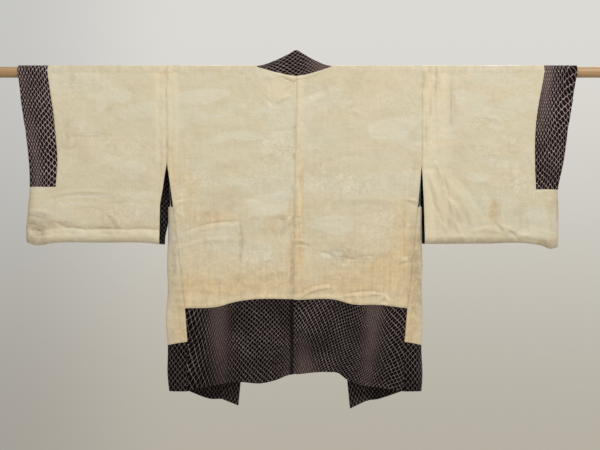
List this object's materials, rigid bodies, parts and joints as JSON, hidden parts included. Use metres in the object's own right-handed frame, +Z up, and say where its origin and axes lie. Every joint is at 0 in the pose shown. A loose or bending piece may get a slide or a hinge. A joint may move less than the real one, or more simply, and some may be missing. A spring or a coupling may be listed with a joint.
{
  "type": "haori jacket on a rod",
  "caption": "Lined haori jacket turned inside out, hung flat on a round wooden rod that runs through both sleeves; cream lining outside, dark netted shell inside.",
  "frame": {"origin": "on the rod's axis, midway along the rod, where the rod is held", "axes": "+X along the rod, +Z up, +Y from the garment's back, which is the side that shows, to its open front"},
  "size_m": [1.44, 0.0369, 0.8187],
  "materials": {
    "wood": "plain turned softwood rod, thin satin varnish",
    "lining": "aged cream silk lining, tonal damask of clouds and small flowers, soft sheen",
    "shibori_silk": "dark tie-dyed silk crepe with a fine pale diamond net, matt"
  },
  "bodies": {
    "root": {"rod": "wood", "body_shell_left": "shibori_silk", "body_shell_right": "shibori_silk", "body_lining_left": "lining", "body_lining_right": "lining", "hem_facing_back_left": "shibori_silk", "hem_facing_back_right": "shibori_silk", "hem_facing_front_left": "shibori_silk", "hem_facing_front_right": "shibori_silk", "sleeve_shell_left": "shibori_silk", "sleeve_shell_right": "shibori_silk", "sleeve_lining_left": "lining", "sleeve_lining_right": "lining", "cuff_facing_left": "shibori_silk", "cuff_facing_right": "shibori_silk", "gusset_shell_left": "shibori_silk", "gusset_shell_right": "shibori_silk", "gusset_lining_left": "lining", "gusset_lining_right": "lining", "gusset_facing_left": "shibori_silk", "gusset_facing_right": "shibori_silk", "collar": "shibori_silk", "chi_left": "shibori_silk", "chi_right": "shibori_silk"}
  },
  "joints": []
}
